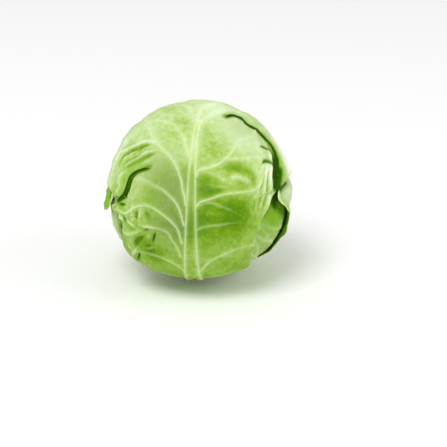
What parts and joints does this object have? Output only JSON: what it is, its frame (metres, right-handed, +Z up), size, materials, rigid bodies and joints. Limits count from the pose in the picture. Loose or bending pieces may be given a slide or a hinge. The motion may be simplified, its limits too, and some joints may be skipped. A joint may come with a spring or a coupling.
{
  "type": "cabbage head",
  "caption": "Round head of green cabbage: overlapping wrapper leaves with pale ribs folded over a tight ball of inner leaves, standing on a small cut stem.",
  "frame": {"origin": "middle of the head's plan, on the surface that the cut stem stands on", "axes": "+Z up through the crown, -Y out through the front leaf's midrib, +X to the right seen from the front"},
  "size_m": [0.168, 0.1656, 0.1609],
  "materials": {
    "front_leaf": "waxy satin, fresh green",
    "wrapper_leaf": "waxy satin, pale green",
    "heart_leaf": "smooth, pale yellow-green",
    "inner_head": "smooth, creamy white-green",
    "cut_stem": "moist fibrous cut, cream"
  },
  "bodies": {
    "root": {"stem": "cut_stem", "inner_head": "inner_head", "heart_leaf_rear_left": "heart_leaf", "heart_leaf_right": "heart_leaf", "heart_leaf_left": "heart_leaf", "rear_leaf": "wrapper_leaf", "left_leaf": "wrapper_leaf", "right_leaf": "wrapper_leaf", "back_left_leaf": "wrapper_leaf", "back_right_leaf": "wrapper_leaf", "front_leaf": "front_leaf"}
  },
  "joints": []
}
